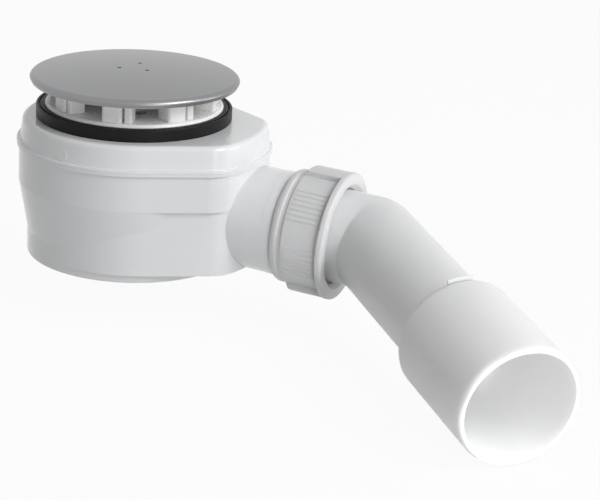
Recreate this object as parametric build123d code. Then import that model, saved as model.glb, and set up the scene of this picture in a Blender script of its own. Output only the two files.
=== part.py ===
from build123d import *
import math
import os

# Shower trap for a 90 mm tray opening. The drain axis is Z, the bowl's foot stands on z = 0,
# the outlet leaves along +X, falling 3 degrees, and its bend turns 45 degrees towards -Y and dips.

# Housing: lower bowl and upper cap, joined along a lip
housing_wall = 2.4
bowl_foot_radius = 58.2
bowl_foot_height = 14.0
bowl_foot_round = 1.0
bowl_radius = 63.1
bowl_step_z = 41.6
bowl_outlet_radius = 75.8
chamber_bottom_z = 5.0
chamber_centre_shift = 3.0
chamber_radius = 59.3
chamber_ledge = 0.4
chamber_draft = 0.5
flank_angle = 60.0
housing_corner = 18.0
lip_bottom_z = 61.8
lip_half_thickness = 1.5
lip_proud = 1.2
cap_top_z = 77.5
cap_set_back = 0.6
cap_outlet_set_back = 0.1
cap_draft = 7.0
cap_edge_round = 3.0
cap_collar_wall = 2.7
cap_collar_bottom_z = 65.5
cap_thread_gap = 0.4
pad_width = 7.0
pad_height = 6.8
pad_proud = 0.9
pad_corner_share = 0.45
pad_angle = -101.5

# Tray seal, gasket and clamping flange
seal_radius = 53.9
seal_height = 6.5
seal_ridge_width = 1.5
seal_groove_width = 0.9
seal_groove_depth = 1.5
gasket_radius = 50.2
gasket_thickness = 1.4
gasket_gap = 0.1
flange_radius = 49.0
flange_edge_thickness = 1.7
flange_edge_round = 1.4
flange_seat_wall = 1.1
flange_seat_depth = 2.0
flange_seat_thickness = 2.2
flange_seat_gap = 0.2
flange_neck_radius = 42.4
flange_neck_wall = 2.3
flange_neck_bottom_z = 66.0

# Strainer with its dip tube, its ring and the lift-out cup
strainer_radius = 43.0
strainer_gap = 0.3
strainer_hole_count = 8
strainer_hole_bore = 8.6
strainer_hole_circle_radius = 22.8
strainer_first_angle = -58.1
dip_tube_radius = 31.6
dip_tube_wall = 1.8
dip_tube_bottom_z = 17.0
strainer_collar_wall = 2.4
strainer_collar_bottom_z = 70.5
o_ring_section = 2.6
o_ring_z = 75.0
o_ring_groove_gap = 0.15
o_ring_groove_wall = 1.4
cup_radius = 38.4
cup_wall = 1.8
cup_floor_clearance = 3.0
cup_height = 54.6
cup_rib_count = 4
cup_rib_thickness = 2.4
cup_rib_bottom_z = 22.0
cup_rib_top_z = 52.0
cup_rib_gap = 0.1

# Carrier below the cover
carrier_inset = 3.5
carrier_plate_thickness = 1.9
carrier_rim_width = 1.6
carrier_boss_radius = 13.0
carrier_boss_wall = 8.0
carrier_gap_to_cover = 0.05
leg_count = 8
leg_first_angle = -79.3
leg_outer_radius = 46.6
leg_depth = 12.5
leg_width = 11.0
leg_height = 9.3
leg_corner = 1.8
finger_slit = 1.2
finger_width = 4.0
finger_depth = 9.0
finger_set_back = 1.2
finger_corner = 0.9

# Cover, pressed from sheet
cover_radius = 57.5
cover_rim_rise = 3.9
cover_rise = 4.2
cover_sheet = 1.0
cover_edge_width = 3.5
cover_edge_drop = 1.9
cover_skirt_depth = 2.0
cover_skirt_lean = 0.9
vent_count = 3
vent_bore = 2.2
vent_circle_radius = 9.0
vent_first_angle = -19.6

# Outlet spigot of the bowl
outlet_z = 35.4
outlet_fall = 3.0
stub_length = 42.2
stub_radius = 28.4
stub_bore_radius = 22.8
stub_collar_proud = 0.3
stub_collar_length = 5.5
stub_collar_set_back = 7.5
thread_radius = 29.2
thread_length = 21.0
stub_socket_depth = 24.0
stub_chamfer = 2.6

# Cone seal, slip washer and union nut
cone_seal_lip = 1.2
cone_seal_gap = 0.05
washer_radius = 29.2
washer_thickness = 3.7
nut_length = 31.5
nut_back_radius = 30.3
nut_ring_radius = 31.2
nut_ring_lead = 1.8
nut_ring_length = 3.4
nut_channel_radius = 30.4
nut_channel_length = 3.3
nut_channel_slope = 0.5
nut_radius = 31.6
nut_groove_length = 2.0
nut_groove_depth = 0.5
nut_rim_radius = 35.0
nut_rim_length = 3.8
nut_rim_lead = 0.6
nut_rim_step = 0.6
nut_rim_round = 2.5
nut_bore_gap = 1.1
nut_bore_chamfer = 2.5
nut_thread_gap = 0.3
nut_front_wall = 4.6
nut_sector_count = 6
nut_first_sector_angle = 101.5
sectors_per_lug = 3
lug_half_angle = 20.5
lug_radius = 34.7
lug_set_back = 5.7
lug_ramp = 3.0
ribs_per_group = 7
rib_pitch_angle = 5.2
rib_height = 0.8
rib_width = 1.2
rib_set_back = 8.0
rib_front_gap = 1.6

# Outlet bend
pipe_radius = 25.5
pipe_wall = 1.9
pipe_fit_gap = 0.2
pipe_end_gap = 0.3
bend_angle = 45.5
bend_roll = 8.1
bend_reach = 16.2
bend_length = 173.2
socket_radius = 32.2
socket_wall = 2.7
shoulder_start = 101.6
shoulder_length = 4.4
shoulder_step = 2.4
mouth_round = 0.5
mouth_lead = 4.5
mouth_turn = 1.4
tab_set_back = 1.2
tab_thickness = 1.2
tab_radius = 34.0
tab_first_angle = -13.5
tab_sweep = 24.0

# Heights, from the housing upwards
seal_top_z = cap_top_z + seal_height
flange_floor_z = seal_top_z + flange_edge_thickness
flange_seat_z = flange_floor_z - flange_seat_depth
carrier_bottom_z = flange_floor_z + leg_height
carrier_top_z = carrier_bottom_z + carrier_plate_thickness
cover_rim_z = carrier_top_z + cover_rim_rise
cup_bottom_z = housing_wall + cup_floor_clearance

# Places along the outlet, from the housing outwards
stub_end_x = bowl_outlet_radius + stub_length
thread_start_x = stub_end_x - thread_length
cone_seal_end_x = stub_end_x + cone_seal_lip
washer_end_x = cone_seal_end_x + washer_thickness
nut_front_x = washer_end_x + nut_front_wall
nut_back_x = nut_front_x - nut_length
nut_ring_end_x = nut_back_x + nut_ring_length
nut_band_x = nut_ring_end_x + nut_channel_length
nut_rim_x = nut_front_x - nut_rim_length
bend_x = nut_front_x + bend_reach

# Radii that follow their neighbours
flange_seat_radius = strainer_radius + strainer_gap
flange_seat_outer = flange_seat_radius + flange_seat_wall
flange_neck_bore = flange_neck_radius - flange_neck_wall
seal_bore = flange_seat_outer + flange_seat_gap
cap_collar_bore = flange_neck_radius + cap_thread_gap
cap_foot_radius = bowl_radius - cap_set_back
cap_foot_outlet_radius = bowl_outlet_radius - cap_outlet_set_back
stub_socket_radius = pipe_radius + pipe_fit_gap
carrier_plate_radius = cover_radius - cover_edge_width - carrier_inset

# Cutting bodies run this far past the faces they cut
overrun = 1.0
standing = (Align.CENTER, Align.CENTER, Align.MIN)


def drum(radius, bottom, top):
    return Pos(0, 0, bottom) * Cylinder(radius, top - bottom, align=standing)


def ring(outer, inner, bottom, top):
    return drum(outer, bottom, top) - drum(inner, bottom - overrun, top + overrun)


# Place of the outlet: its own X runs along the falling axis, from the drain axis outwards
def outlet_place():
    return Pos(0, 0, outlet_z) * Rot(0, outlet_fall, 0)


# A cylinder along the outlet's axis
def rod(radius, start, end):
    return outlet_place() * Pos(start, 0, 0) * Rot(0, 90, 0) * Cylinder(radius, end - start, align=standing)


# A solid of revolution about X, from a closed outline of (x, radius) points
def turned(points):
    face = make_face(Polyline(*[(radius, x) for x, radius in points], close=True))
    return Rot(0, 90, 0) * revolve(Plane.XZ * face, Axis.Z)


# A quarter of an oval between two points, bulging away from its centre
def quarter_arc(start, end, centre):
    pull = (math.sqrt(2) - 1) * 4 / 3
    after_start = tuple(a + (b - c) * pull for a, b, c in zip(start, end, centre))
    before_end = tuple(b + (a - c) * pull for a, b, c in zip(start, end, centre))
    return Bezier(start, after_start, before_end, end)


# Round body with two flanks that run tangent to it and end on a wider arc at the outlet side
def housing_plan(round_radius, outlet_radius, shift=0.0):
    flank = math.radians(flank_angle)
    flank_distance = round_radius + shift * math.cos(flank)
    corner_angle = flank_angle - math.degrees(math.acos(flank_distance / outlet_radius))
    round_arc = CenterArc((shift, 0), round_radius, flank_angle, 360 - 2 * flank_angle)
    wide_arc = CenterArc((0, 0), outlet_radius, -corner_angle, 2 * corner_angle)
    outline = round_arc + Line(round_arc @ 1, wide_arc @ 0) + wide_arc + Line(wide_arc @ 1, round_arc @ 0)
    face = make_face(outline)
    corners = face.vertices().sort_by(Axis.X)[-2:]
    return fillet(corners, housing_corner)


def prism(plan, bottom, top, taper=0.0):
    return extrude(Pos(0, 0, bottom) * plan, top - bottom, taper=taper)


# The bowl's solid form, shrunk by inset on its sides and raised by floor at its bottom
def bowl_body(inset, floor):
    foot = drum(bowl_foot_radius - inset, floor, bowl_foot_height)
    flare = Pos(0, 0, bowl_foot_height) * Cone(
        bowl_foot_radius - inset, bowl_radius - inset, bowl_step_z - bowl_foot_height, align=standing
    )
    chamber_plan = housing_plan(
        chamber_radius - inset, bowl_outlet_radius - chamber_ledge - inset, chamber_centre_shift
    )
    chamber = prism(chamber_plan, chamber_bottom_z + floor, bowl_step_z, taper=-chamber_draft)
    upper = prism(housing_plan(bowl_radius - inset, bowl_outlet_radius - inset), bowl_step_z, lip_bottom_z)
    return foot + flare + chamber + upper


def lip(bottom):
    plan = housing_plan(bowl_radius + lip_proud, bowl_outlet_radius + lip_proud)
    return prism(plan, bottom, bottom + lip_half_thickness)


def make_bowl():
    body = bowl_body(0, 0)
    body = fillet(body.faces().sort_by(Axis.Z)[0].edges(), bowl_foot_round)
    body += lip(lip_bottom_z)
    stub_root_x = bowl_outlet_radius - stub_radius / 2
    collar_start_x = thread_start_x - stub_collar_set_back
    body += rod(stub_radius, stub_root_x, thread_start_x)
    body += rod(stub_radius + stub_collar_proud, collar_start_x, collar_start_x + stub_collar_length)
    body += rod(thread_radius, thread_start_x, stub_end_x)
    mouth_plan = housing_plan(bowl_radius - housing_wall, bowl_outlet_radius - housing_wall)
    cavity = bowl_body(housing_wall, housing_wall)
    cavity += prism(mouth_plan, lip_bottom_z, lip_bottom_z + lip_half_thickness)
    bowl = body - cavity
    bowl -= rod(stub_bore_radius, stub_root_x - housing_wall, stub_end_x)
    bowl -= rod(stub_socket_radius, stub_end_x - stub_socket_depth, stub_end_x)
    bowl -= outlet_place() * turned([
        (stub_end_x - stub_chamfer, 0),
        (stub_end_x - stub_chamfer, stub_socket_radius),
        (stub_end_x, stub_socket_radius + stub_chamfer),
        (stub_end_x, 0),
    ])
    return bowl


# Oval moulding mark that stands on the cap's wall and lip
def cap_pad(wall_z):
    pad_radius = bowl_radius + lip_proud + pad_proud
    outline = RectangleRounded(pad_height, pad_width, min(pad_width, pad_height) * pad_corner_share)
    pad = Rot(0, -90, 0) * extrude(outline, lip_proud + pad_proud + housing_wall)
    return Rot(0, 0, pad_angle) * Pos(pad_radius, 0, wall_z + pad_height / 2 - lip_half_thickness) * pad


def make_cap():
    foot_z = lip_bottom_z + lip_half_thickness
    wall_z = foot_z + lip_half_thickness
    cap = prism(housing_plan(cap_foot_radius, cap_foot_outlet_radius), wall_z, cap_top_z, taper=cap_draft)
    cap = fillet(cap.faces().sort_by(Axis.Z)[-1].edges(), cap_edge_round)
    cap += lip(foot_z)
    cap += cap_pad(wall_z)
    lip_bore = housing_plan(bowl_radius - housing_wall, bowl_outlet_radius - housing_wall)
    inside = housing_plan(cap_foot_radius - housing_wall, cap_foot_outlet_radius - housing_wall)
    cap -= prism(lip_bore, foot_z, wall_z)
    cap -= prism(inside, wall_z, cap_top_z - housing_wall, taper=cap_draft)
    cap -= drum(cap_collar_bore, wall_z, cap_top_z + overrun)
    return cap + ring(cap_collar_bore + cap_collar_wall, cap_collar_bore, cap_collar_bottom_z, cap_top_z)


def make_tray_seal():
    floor_z = seal_top_z - gasket_thickness
    groove_outer = seal_radius - seal_ridge_width
    seal = ring(seal_radius, seal_bore, cap_top_z, floor_z)
    seal += ring(seal_radius, gasket_radius + gasket_gap, floor_z, seal_top_z)
    return seal - ring(
        groove_outer, groove_outer - seal_groove_width, seal_top_z - seal_groove_depth, seal_top_z + overrun
    )


def make_gasket():
    return ring(gasket_radius, seal_bore, seal_top_z - gasket_thickness, seal_top_z)


def make_flange():
    plate = ring(flange_radius, flange_seat_radius, seal_top_z, flange_floor_z)
    rim = plate.edges().filter_by(GeomType.CIRCLE).group_by(Axis.Z)[-1].sort_by(SortBy.RADIUS)[-1]
    plate = fillet(rim, flange_edge_round)
    seat_wall = ring(flange_seat_outer, flange_seat_radius, flange_seat_z, flange_floor_z - flange_edge_round)
    seat = ring(flange_seat_outer, flange_neck_bore, flange_seat_z - flange_seat_thickness, flange_seat_z)
    neck = ring(flange_neck_radius, flange_neck_bore, flange_neck_bottom_z, flange_seat_z)
    return plate + seat_wall + seat + neck


def make_strainer():
    plate = drum(strainer_radius, flange_seat_z, flange_floor_z)
    for place in PolarLocations(strainer_hole_circle_radius, strainer_hole_count, strainer_first_angle):
        plate -= place * drum(strainer_hole_bore / 2, flange_seat_z - overrun, flange_floor_z + overrun)
    tube = ring(dip_tube_radius, dip_tube_radius - dip_tube_wall, dip_tube_bottom_z, flange_seat_z)
    collar_outer = flange_neck_bore - strainer_gap
    collar = ring(collar_outer, collar_outer - strainer_collar_wall, strainer_collar_bottom_z, flange_seat_z)
    groove_bottom = flange_neck_bore - o_ring_section
    groove_half = o_ring_section / 2 + o_ring_groove_gap
    collar -= ring(collar_outer + overrun, groove_bottom, o_ring_z - groove_half, o_ring_z + groove_half)
    backing_half = groove_half + o_ring_groove_wall
    backing = ring(
        groove_bottom, groove_bottom - o_ring_groove_wall, o_ring_z - backing_half, o_ring_z + backing_half
    )
    return plate + tube + collar + backing


def make_o_ring():
    radius = o_ring_section / 2
    return Pos(0, 0, o_ring_z) * Torus(flange_neck_bore - radius, radius)


def make_cup():
    inner = cup_radius - cup_wall
    cup_rim_z = cup_bottom_z + cup_height
    guide_radius = dip_tube_radius + cup_rib_gap
    cup = drum(cup_radius, cup_bottom_z, cup_rim_z)
    cup -= drum(inner, cup_bottom_z + cup_wall, cup_rim_z + overrun)
    rib_length = inner - guide_radius + cup_wall / 2
    rib = Box(rib_length, cup_rib_thickness, cup_rib_top_z - cup_rib_bottom_z, align=standing)
    for place in PolarLocations(guide_radius + rib_length / 2, cup_rib_count):
        cup += place * Pos(0, 0, cup_rib_bottom_z) * rib
    return cup - drum(guide_radius, cup_rib_bottom_z - overrun, cup_rim_z + overrun)


# Height of the cover's upper face at a radius, on a shallow dome
def dome_height(radius):
    sphere = (cover_radius**2 + cover_rise**2) / (2 * cover_rise)
    return cover_rim_z + cover_rise - sphere + math.sqrt(sphere**2 - radius**2)


def make_cover():
    edge_start = cover_radius - cover_edge_width
    edge_z = cover_rim_z - cover_edge_drop
    top = [(radius, dome_height(radius)) for radius in (0.0, edge_start / 2, edge_start)]
    under = [(radius, height - cover_sheet) for radius, height in top]
    crest = (cover_radius, edge_z)
    inner_crest = (cover_radius - cover_sheet, edge_z)
    skirt_foot = (cover_radius - cover_skirt_lean, edge_z - cover_skirt_depth)
    outline = (
        ThreePointArc(*top)
        + quarter_arc(top[2], crest, (edge_start, edge_z))
        + Polyline(crest, skirt_foot, (skirt_foot[0] - cover_sheet, skirt_foot[1]), inner_crest)
        + quarter_arc(inner_crest, under[2], (edge_start, edge_z))
        + ThreePointArc(under[2], under[1], under[0])
        + Line(under[0], top[0])
    )
    cover = revolve(Plane.XZ * make_face(outline), Axis.Z)
    for place in PolarLocations(vent_circle_radius, vent_count, vent_first_angle):
        cover -= place * drum(vent_bore / 2, cover_rim_z, cover_rim_z + cover_rise + overrun)
    return cover


# A leg block with the springy finger that stands beside it
def carrier_leg():
    block = Box(leg_depth, leg_width, leg_height, align=standing)
    block = fillet(block.edges().filter_by(Axis.Z), leg_corner)
    finger = Box(finger_depth, finger_width, leg_height, align=(Align.MAX, Align.CENTER, Align.MIN))
    finger = fillet(finger.edges().filter_by(Axis.Z), finger_corner)
    finger_offset = (leg_width + finger_width) / 2 + finger_slit
    return block + Pos(leg_depth / 2 - finger_set_back, finger_offset, 0) * finger


def make_carrier():
    below_cover = cover_sheet + carrier_gap_to_cover
    rim_top_z = dome_height(carrier_plate_radius) - below_cover
    boss_top_z = dome_height(carrier_boss_radius) - below_cover
    carrier = drum(carrier_plate_radius, carrier_bottom_z, carrier_top_z)
    carrier += ring(carrier_plate_radius, carrier_plate_radius - carrier_rim_width, carrier_top_z, rim_top_z)
    carrier += ring(carrier_boss_radius, carrier_boss_radius - carrier_boss_wall, carrier_top_z, boss_top_z)
    leg = Pos(0, 0, flange_floor_z) * carrier_leg()
    for place in PolarLocations(leg_outer_radius - leg_depth / 2, leg_count, leg_first_angle):
        carrier += place * leg
    for place in PolarLocations(vent_circle_radius, vent_count, vent_first_angle):
        carrier -= place * drum(vent_bore / 2, carrier_bottom_z - overrun, boss_top_z + overrun)
    return carrier


def make_cone_seal():
    start_x = stub_end_x - stub_chamfer + cone_seal_gap
    outer = stub_socket_radius + stub_chamfer - cone_seal_gap
    return outlet_place() * turned([
        (start_x, pipe_radius),
        (start_x, stub_socket_radius),
        (stub_end_x, outer),
        (cone_seal_end_x, outer),
        (cone_seal_end_x, pipe_radius),
    ])


def make_washer():
    washer = rod(washer_radius, cone_seal_end_x, washer_end_x)
    return washer - rod(stub_socket_radius, cone_seal_end_x - overrun, washer_end_x + overrun)


def nut_body():
    bore = pipe_radius + nut_bore_gap
    thread_bore = thread_radius + nut_thread_gap
    body = turned([
        (nut_back_x, thread_bore),
        (nut_back_x, nut_back_radius),
        (nut_back_x + nut_ring_lead, nut_ring_radius),
        (nut_ring_end_x, nut_ring_radius),
        (nut_ring_end_x + nut_channel_slope, nut_channel_radius),
        (nut_band_x - nut_channel_slope, nut_channel_radius),
        (nut_band_x, nut_radius),
        (nut_rim_x - nut_groove_length - nut_groove_depth, nut_radius),
        (nut_rim_x - nut_groove_depth, nut_radius - nut_groove_depth),
        (nut_rim_x, nut_rim_radius - nut_rim_step),
        (nut_rim_x + nut_rim_lead, nut_rim_radius),
        (nut_front_x, nut_rim_radius),
        (nut_front_x, bore + nut_bore_chamfer),
        (nut_front_x - nut_bore_chamfer, bore),
        (washer_end_x, bore),
        (washer_end_x, thread_bore),
    ])
    front_edge = body.edges().filter_by(GeomType.CIRCLE).group_by(Axis.X)[-1].sort_by(SortBy.RADIUS)[-1]
    return fillet(front_edge, nut_rim_round)


# One thumb lug, pointing up from the nut's own axis
def nut_lug():
    start_x = nut_back_x + lug_set_back
    root = nut_radius - nut_groove_depth
    band = turned([
        (start_x, root),
        (start_x + lug_ramp, lug_radius),
        (nut_rim_x + nut_rim_step, lug_radius),
        (nut_rim_x + nut_rim_step, root),
    ])
    half_width = 2 * lug_radius * math.tan(math.radians(lug_half_angle))
    sector = make_face(Polyline(
        (0, 0), (half_width, 2 * lug_radius), (-half_width, 2 * lug_radius), close=True
    ))
    wedge = extrude(Plane.YZ * sector, nut_length)
    return band & Pos(nut_back_x, 0, 0) * wedge


# One group of grip ribs, pointing up from the nut's own axis
def nut_rib_group():
    start_x = nut_back_x + rib_set_back
    length = nut_rim_x - rib_front_gap - start_x
    rib = Box(length, rib_width, 2 * rib_height, align=(Align.MIN, Align.CENTER, Align.CENTER))
    middle = (ribs_per_group - 1) / 2
    angles = [(index - middle) * rib_pitch_angle for index in range(ribs_per_group)]
    return [Rot(angle, 0, 0) * Pos(start_x, 0, nut_radius) * rib for angle in angles]


def make_nut():
    nut = nut_body()
    for sector in range(nut_sector_count):
        angle = nut_first_sector_angle + sector * 360 / nut_sector_count
        turn = Rot(90 - angle, 0, 0)
        features = nut_rib_group() if sector % sectors_per_lug else [nut_lug()]
        for feature in features:
            nut += turn * feature
    return outlet_place() * nut


# The bend's outer form, or its bore: the inlet leg, a ball at the corner, then the outlet leg
def bend_shape(hollow):
    small = pipe_radius - (pipe_wall if hollow else 0)
    large = socket_radius - (socket_wall if hollow else 0)
    over = overrun if hollow else 0
    shoulder_x = shoulder_start + (socket_wall if hollow else 0)
    shoulder_end = shoulder_x + shoulder_length
    step = small + shoulder_step
    end = bend_length + over
    turn_in = 0 if hollow else mouth_turn
    turn_start = end - mouth_lead
    profile = make_face(
        Polyline((step, shoulder_x), (small, shoulder_x), (small, 0), (0, 0), (0, end), (large - turn_in, end))
        + (
            Line((large, end), (large, turn_start))
            if hollow
            else quarter_arc((large - turn_in, end), (large, turn_start), (large - turn_in, turn_start))
        )
        + Line((large, turn_start), (large, shoulder_end))
        + quarter_arc((large, shoulder_end), (step, shoulder_x), (step, shoulder_end))
    )
    inlet = rod(small, stub_end_x - stub_socket_depth + pipe_end_gap - over, bend_x)
    corner = outlet_place() * Pos(bend_x, 0, 0) * Sphere(small)
    return inlet + corner + outlet_leg() * revolve(Plane.XZ * profile, Axis.Z)


# Place of the outlet leg: its own Z runs from the corner to the mouth, its -X points up
def outlet_leg():
    turn = Rot(bend_roll, 0, 0) * Rot(0, 0, -bend_angle) * Rot(0, 90, 0)
    return outlet_place() * Pos(bend_x, 0, 0) * turn


# Short arc rib that stands up at the shoulder
def bend_tab():
    start = shoulder_start + tab_set_back
    reach = 2 * tab_radius
    first = math.radians(tab_first_angle)
    last = math.radians(tab_first_angle + tab_sweep)
    sector = make_face(Polyline(
        (0, 0),
        (-reach * math.cos(first), reach * math.sin(first)),
        (-reach * math.cos(last), reach * math.sin(last)),
        close=True,
    ))
    arc = ring(tab_radius, pipe_radius - pipe_wall / 2, start, start + tab_thickness)
    return arc & extrude(Pos(0, 0, start) * sector, tab_thickness)


def make_bend():
    bend = bend_shape(False) - bend_shape(True)
    mouth = (outlet_leg() * Pos(0, 0, bend_length)).position
    circles = bend.edges().filter_by(GeomType.CIRCLE)
    mouth_edges = [edge for edge in circles if (edge.arc_center - mouth).length < mouth_round]
    bend = fillet(mouth_edges, mouth_round)
    return bend + outlet_leg() * bend_tab()


nodes = {
    "cover_plate": make_cover,
    "cover_carrier": make_carrier,
    "clamping_flange": make_flange,
    "flange_gasket": make_gasket,
    "tray_seal": make_tray_seal,
    "strainer_tube": make_strainer,
    "strainer_o_ring": make_o_ring,
    "trap_cup": make_cup,
    "housing_cap": make_cap,
    "housing_bowl": make_bowl,
    "union_nut": make_nut,
    "cone_seal": make_cone_seal,
    "slip_washer": make_washer,
    "outlet_bend": make_bend,
}

os.makedirs("parts", exist_ok=True)
for name, make in nodes.items():
    shape = make()
    box = shape.bounding_box()
    print(name, len(shape.solids()), "solid", [round(v, 1) for v in (*box.min, *box.max)], round(shape.volume))
    export_step(shape, f"parts/{name}.step")
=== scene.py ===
import bmesh
import bpy
import math
from mathutils import Matrix, Vector


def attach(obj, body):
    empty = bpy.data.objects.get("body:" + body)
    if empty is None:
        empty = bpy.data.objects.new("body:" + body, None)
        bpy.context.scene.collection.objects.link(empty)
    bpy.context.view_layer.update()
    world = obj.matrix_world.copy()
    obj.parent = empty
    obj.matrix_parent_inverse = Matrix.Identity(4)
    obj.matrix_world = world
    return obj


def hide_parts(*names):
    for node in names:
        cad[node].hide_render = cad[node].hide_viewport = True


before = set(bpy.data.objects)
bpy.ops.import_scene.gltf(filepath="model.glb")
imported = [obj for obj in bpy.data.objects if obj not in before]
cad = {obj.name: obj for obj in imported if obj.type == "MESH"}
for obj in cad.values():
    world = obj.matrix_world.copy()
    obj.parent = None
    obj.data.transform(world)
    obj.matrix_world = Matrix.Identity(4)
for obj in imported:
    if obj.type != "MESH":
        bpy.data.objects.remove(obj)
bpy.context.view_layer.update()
mm = 0.001
print("frame loaded:", len(cad), "solids")


# Materials: each finish reads Object coordinates, in metres

def startMaterial(name):
    material = bpy.data.materials.new(name)
    material.use_nodes = True
    nodes = material.node_tree.nodes
    links = material.node_tree.links
    shader = nodes["Principled BSDF"]
    place = nodes.new("ShaderNodeTexCoord")
    return material, nodes, links, shader, place.outputs["Object"]


def noiseFrom(nodes, links, vector, scale, detail=3.0, roughness=0.5):
    noise = nodes.new("ShaderNodeTexNoise")
    noise.inputs["Scale"].default_value = scale
    noise.inputs["Detail"].default_value = detail
    noise.inputs["Roughness"].default_value = roughness
    links.new(vector, noise.inputs["Vector"])
    return noise.outputs["Fac"]


noiseReach = (0.3, 0.7)  # noise mostly lies between these


def spread(nodes, links, value, low, high):
    mapRange = nodes.new("ShaderNodeMapRange")
    mapRange.inputs["From Min"].default_value = noiseReach[0]
    mapRange.inputs["From Max"].default_value = noiseReach[1]
    mapRange.inputs["To Min"].default_value = low
    mapRange.inputs["To Max"].default_value = high
    links.new(value, mapRange.inputs["Value"])
    return mapRange.outputs["Result"]


def blendColours(nodes, links, factor, first, second):
    mix = nodes.new("ShaderNodeMix")
    mix.data_type = "RGBA"
    mix.inputs["A"].default_value = (*first, 1)
    mix.inputs["B"].default_value = (*second, 1)
    links.new(factor, mix.inputs["Factor"])
    return mix.outputs["Result"]


def addBump(nodes, links, shader, height, strength, depth):
    bump = nodes.new("ShaderNodeBump")
    bump.inputs["Strength"].default_value = strength
    bump.inputs["Distance"].default_value = depth
    links.new(height, bump.inputs["Height"])
    links.new(bump.outputs["Normal"], shader.inputs["Normal"])


def mouldedPlastic(name, finish):
    material, nodes, links, shader, place = startMaterial(name)
    cloud = noiseFrom(nodes, links, place, finish["cloudScale"])
    grain = noiseFrom(nodes, links, place, finish["grainScale"], 2.0)
    links.new(blendColours(nodes, links, cloud, finish["colour"], finish["colourShade"]), shader.inputs["Base Color"])
    links.new(spread(nodes, links, grain, *finish["roughness"]), shader.inputs["Roughness"])
    shader.inputs["IOR"].default_value = finish["ior"]
    shader.inputs["Specular IOR Level"].default_value = finish["gleam"]
    shader.inputs["Subsurface Weight"].default_value = finish["translucence"]
    shader.inputs["Subsurface Radius"].default_value = (1.0, 0.95, 0.9)
    shader.inputs["Subsurface Scale"].default_value = finish["scatter"]
    shader.inputs["Coat Weight"].default_value = finish["coat"]
    shader.inputs["Coat Roughness"].default_value = finish["coatRoughness"]
    addBump(nodes, links, shader, grain, finish["bump"], finish["bumpDepth"])
    return material


plasticFinishes = {
    "glossyWhite": {
        "colour": (0.80, 0.81, 0.82), "colourShade": (0.77, 0.78, 0.79), "roughness": (0.16, 0.24),
        "cloudScale": 30.0, "grainScale": 160.0, "ior": 1.49, "coat": 0.25, "coatRoughness": 0.06,
        "bump": 0.06, "bumpDepth": 0.0004, "gleam": 0.5, "translucence": 0.0, "scatter": 0.002,
    },
    "bendWhite": {
        "colour": (0.77, 0.775, 0.78), "colourShade": (0.745, 0.75, 0.755), "roughness": (0.34, 0.46),
        "cloudScale": 26.0, "grainScale": 900.0, "ior": 1.49, "coat": 0.0, "coatRoughness": 0.2,
        "bump": 0.10, "bumpDepth": 0.0001, "gleam": 0.5, "translucence": 0.8, "scatter": 0.006,
    },
    # painted shade: the nut's white is a darker copy of the bend's white, standing in for the shade the nut sits in
    "nutShadedWhite": {
        "colour": (0.685, 0.69, 0.695), "colourShade": (0.66, 0.665, 0.675), "roughness": (0.34, 0.46),
        "cloudScale": 26.0, "grainScale": 900.0, "ior": 1.49, "coat": 0.0, "coatRoughness": 0.2,
        "bump": 0.10, "bumpDepth": 0.0001, "gleam": 0.5, "translucence": 0.0, "scatter": 0.006,
    },
    # painted light: paler than the housing's white, standing in for light under the cover on the flange, strainer and
    # carrier
    "underCoverLitWhite": {
        "colour": (0.93, 0.93, 0.925), "colourShade": (0.90, 0.90, 0.895), "roughness": (0.22, 0.32),
        "cloudScale": 30.0, "grainScale": 900.0, "ior": 1.49, "coat": 0.0, "coatRoughness": 0.1,
        "bump": 0.04, "bumpDepth": 0.0001, "gleam": 0.5, "translucence": 0.0, "scatter": 0.005,
    },
    "naturalPlastic": {
        "colour": (0.70, 0.69, 0.65), "colourShade": (0.66, 0.65, 0.60), "roughness": (0.30, 0.42),
        "cloudScale": 40.0, "grainScale": 700.0, "ior": 1.49, "coat": 0.0, "coatRoughness": 0.2,
        "bump": 0.10, "bumpDepth": 0.0001, "gleam": 0.5, "translucence": 0.8, "scatter": 0.006,
    },
}

rubberFinish = {
    "colour": (0.007, 0.007, 0.008), "colourShade": (0.013, 0.013, 0.014), "roughness": (0.34, 0.50),
    "cloudScale": 60.0, "grainScale": 1100.0, "ior": 1.52, "coat": 0.0, "coatRoughness": 0.2,
    "bump": 0.18, "bumpDepth": 0.0001, "gleam": 0.12, "translucence": 0.0, "scatter": 0.001,
}

metalFinish = {
    "colour": (0.272, 0.274, 0.279), "colourShade": (0.250, 0.252, 0.257), "roughness": (0.30, 0.38),
    "ringScale": 620.0, "grainScale": 2400.0, "bump": 0.10, "bumpDepth": 0.00004,
}


def satinMetal(finish):
    material, nodes, links, shader, place = startMaterial("satinMetal")
    grain = noiseFrom(nodes, links, place, finish["grainScale"], 4.0, 0.6)
    length = nodes.new("ShaderNodeVectorMath")  # distance from the drain axis, for faint turning marks
    length.operation = "LENGTH"
    flatten = nodes.new("ShaderNodeVectorMath")
    flatten.operation = "MULTIPLY"
    flatten.inputs[1].default_value = (1, 1, 0)
    links.new(place, flatten.inputs[0])
    links.new(flatten.outputs["Vector"], length.inputs[0])
    rings = nodes.new("ShaderNodeTexNoise")
    rings.noise_dimensions = "1D"
    rings.inputs["Scale"].default_value = finish["ringScale"]
    links.new(length.outputs["Value"], rings.inputs["W"])
    links.new(
        blendColours(nodes, links, rings.outputs["Fac"], finish["colour"], finish["colourShade"]),
        shader.inputs["Base Color"],
    )
    links.new(spread(nodes, links, grain, *finish["roughness"]), shader.inputs["Roughness"])
    shader.inputs["Metallic"].default_value = 1.0
    addBump(nodes, links, shader, grain, finish["bump"], finish["bumpDepth"])
    return material


finishes = {name: mouldedPlastic(name, finish) for name, finish in plasticFinishes.items()}
finishes["blackRubber"] = mouldedPlastic("blackRubber", rubberFinish)
finishes["satinMetal"] = satinMetal(metalFinish)

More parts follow.
